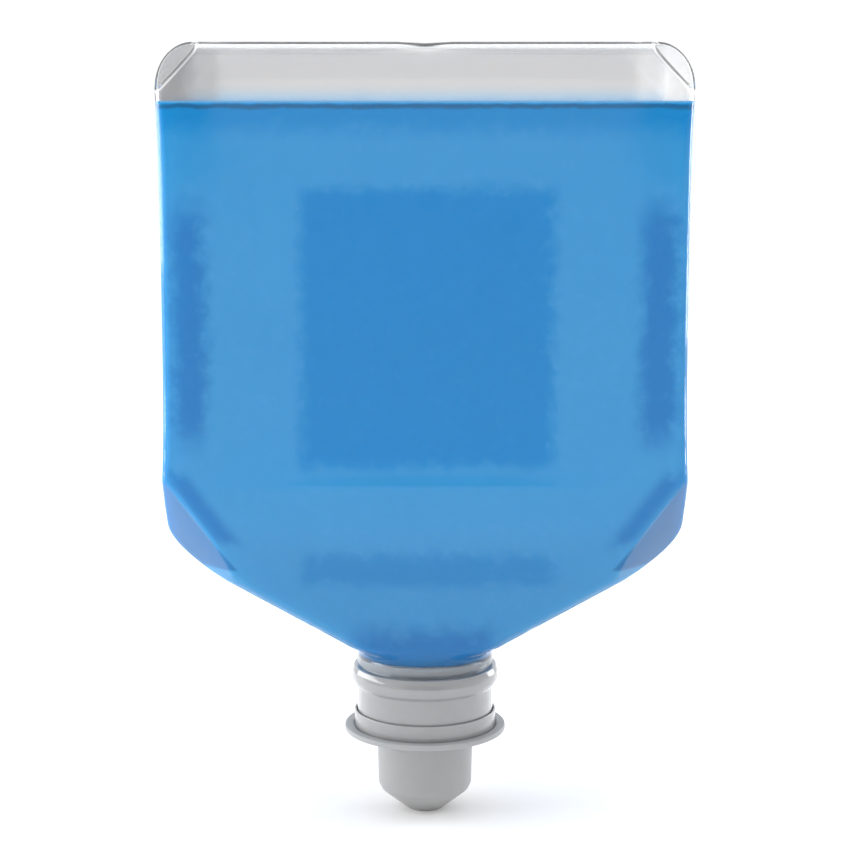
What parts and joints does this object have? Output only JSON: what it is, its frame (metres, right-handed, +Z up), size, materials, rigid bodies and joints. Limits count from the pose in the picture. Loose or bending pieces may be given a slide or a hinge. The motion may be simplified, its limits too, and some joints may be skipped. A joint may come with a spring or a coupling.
{
  "type": "hand soap refill pack",
  "caption": "Inverted see-through bottle of blue hand soap with faceted corners and a fixed foam pump with a flanged nozzle that the dispenser pushes up.",
  "frame": {"origin": "middle of the neck's grip groove, on the neck's axis, where the dispenser's cradle holds the pack", "axes": "+Z up along the neck's axis as the pack hangs, nozzle down; front face towards -Y; +X to the right seen from the front"},
  "size_m": [0.142, 0.068, 0.2183],
  "materials": {
    "bottle_wall": "clear blow-moulded, glossy",
    "soap": "blue liquid soap",
    "gasket": "soft, matt",
    "glossy_plastic": "translucent grey, glossy",
    "matt_plastic": "grey, fine matt",
    "white_plastic": "satin",
    "silicone": "milky, soft",
    "screen_mesh": "fine woven mesh",
    "steel": "drawn wire"
  },
  "bodies": {
    "bottle_and_housing": {"bottle": "bottle_wall", "liquid_soap": "soap", "neck_gasket": "gasket", "pump_housing": "glossy_plastic", "liquid_cylinder": "white_plastic", "inlet_valve": "silicone", "return_spring": "steel"},
    "plunger": {"piston_stem": "white_plastic", "liquid_piston_seal": "silicone", "air_piston": "white_plastic", "air_intake_valve": "silicone", "outlet_valve": "silicone", "screen_carrier": "white_plastic", "upper_screen": "screen_mesh", "lower_screen": "screen_mesh", "guide_collar": "glossy_plastic", "nozzle_cup": "matt_plastic"}
  },
  "joints": [
    {"name": "pump_stroke", "type": "slide", "parent": "bottle_and_housing", "child": "plunger", "axis": [0, 0, 1], "range_m": [0, 0.004], "stiffness_N_per_m": 600, "springref_m": -0.005, "deforming": ["return_spring"]}
  ]
}
